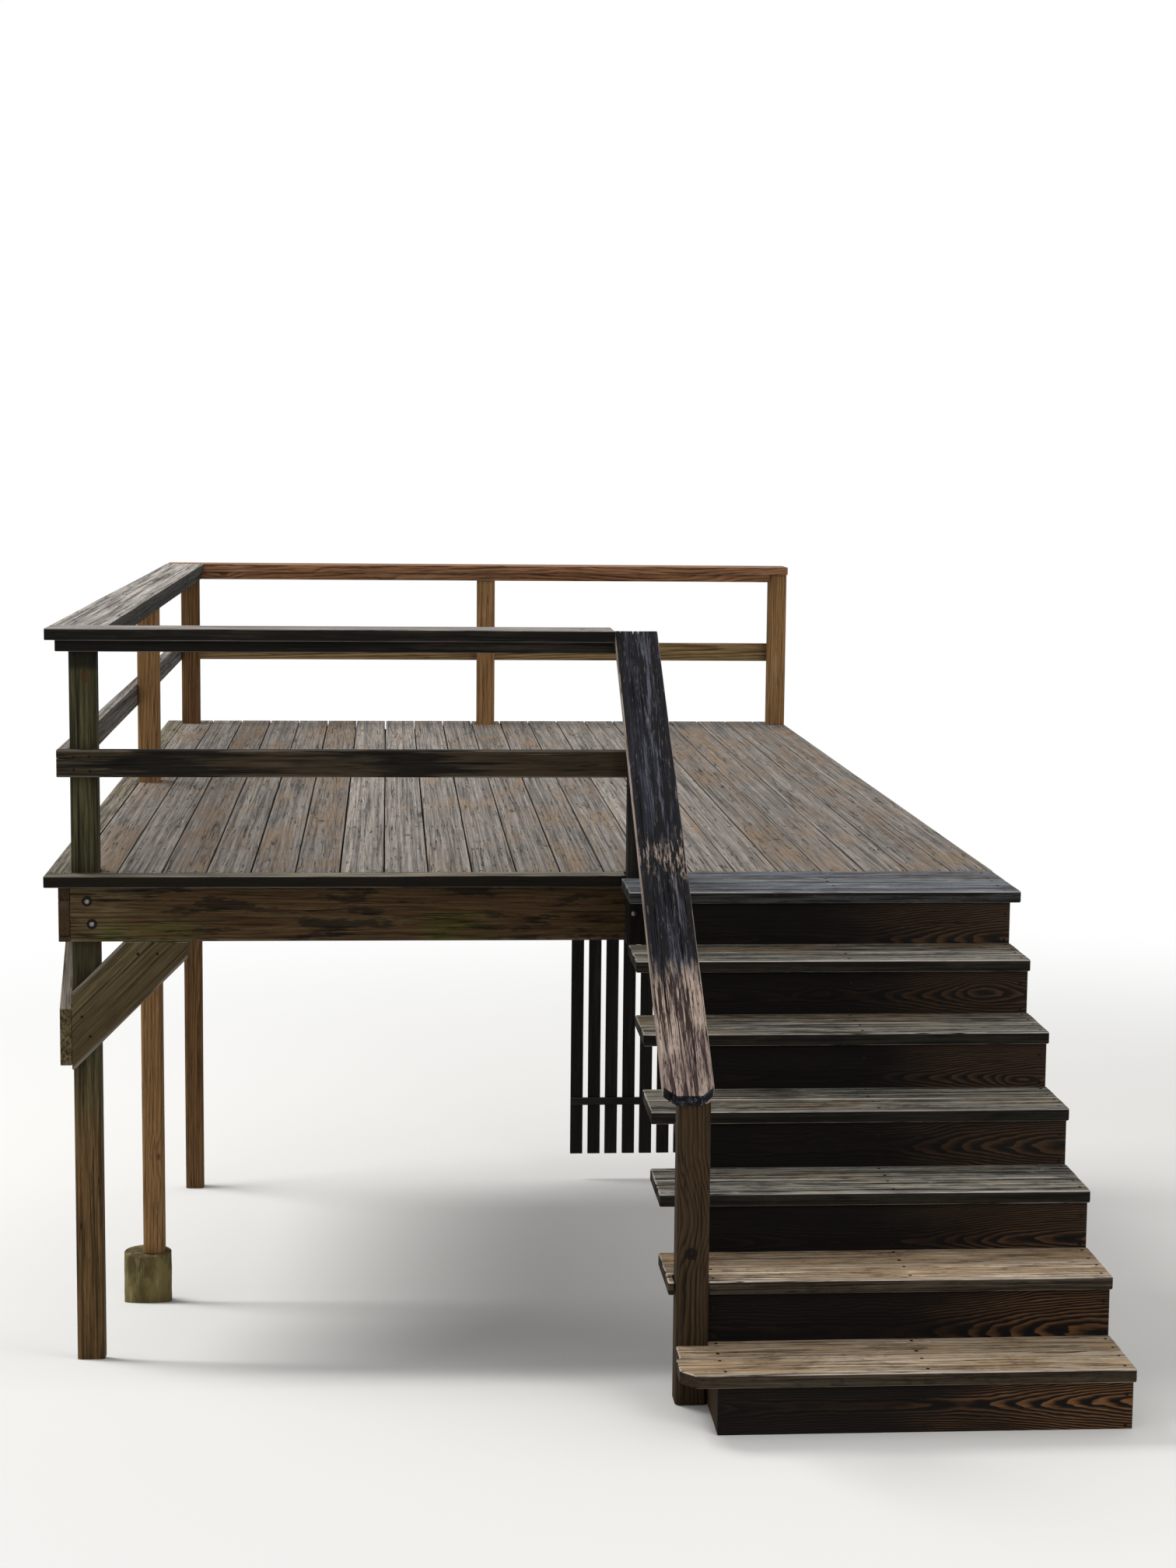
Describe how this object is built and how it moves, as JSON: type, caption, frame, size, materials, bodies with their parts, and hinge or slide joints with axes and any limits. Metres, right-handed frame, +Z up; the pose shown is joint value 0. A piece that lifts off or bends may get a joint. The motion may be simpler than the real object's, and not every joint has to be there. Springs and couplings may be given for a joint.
{
  "type": "raised wooden deck with steps",
  "caption": "Raised wooden deck on posts with railing, knee braces, handrail and a flight of closed steps at one corner; its ledger bolts to a wall.",
  "frame": {"origin": "middle of the ledger board's flat face that lies against the wall", "axes": "+X out of the ledger into the wall, +Y along the wall away from the steps, +Z up"},
  "size_m": [3.132, 7.085, 3.195],
  "materials": {
    "frame_lumber": "weathered softwood framing, dark and shaded",
    "deck_lumber": "bare softwood decking weathered to grey",
    "riser_lumber": "dark softwood riser boards with orange growth rings",
    "post_lumber": "warm brown softwood posts with checks along the grain",
    "rail_lumber": "dark weathered softwood rails",
    "side_rail_lumber": "silver grey weathered softwood rails",
    "rear_rail_lumber": "orange tan softwood rails",
    "screen_lumber": "dark weathered softwood slats",
    "pier_concrete": "cast concrete, stained"
  },
  "bodies": {
    "root": {"ledger_board": "frame_lumber", "side_beam": "frame_lumber", "front_rim": "frame_lumber", "rear_rim": "frame_lumber", "joists": "frame_lumber", "left_stringer": "frame_lumber", "middle_stringer": "frame_lumber", "right_stringer": "frame_lumber", "deck_boards": "deck_lumber", "front_edge_strip": "deck_lumber", "left_edge_strip": "deck_lumber", "landing_boards_set": "deck_lumber", "tread_1": "deck_lumber", "tread_2": "deck_lumber", "tread_3": "deck_lumber", "tread_4": "deck_lumber", "tread_5": "deck_lumber", "tread_6": "deck_lumber", "risers": "riser_lumber", "front_left_post": "post_lumber", "middle_left_post": "post_lumber", "rear_left_post": "post_lumber", "rear_middle_post": "post_lumber", "rear_right_post": "post_lumber", "newel_post": "post_lumber", "front_knee_brace": "post_lumber", "side_knee_brace": "post_lumber", "front_cap": "rail_lumber", "front_plate": "rail_lumber", "front_mid_rail": "rail_lumber", "stair_post": "rail_lumber", "handrail": "rail_lumber", "left_cap": "side_rail_lumber", "left_plate": "side_rail_lumber", "left_mid_rail": "side_rail_lumber", "rear_cap": "rear_rail_lumber", "rear_plate": "rear_rail_lumber", "rear_mid_rail": "rear_rail_lumber", "screen_slats": "screen_lumber", "screen_rail": "screen_lumber", "concrete_pier": "pier_concrete"}
  },
  "joints": []
}
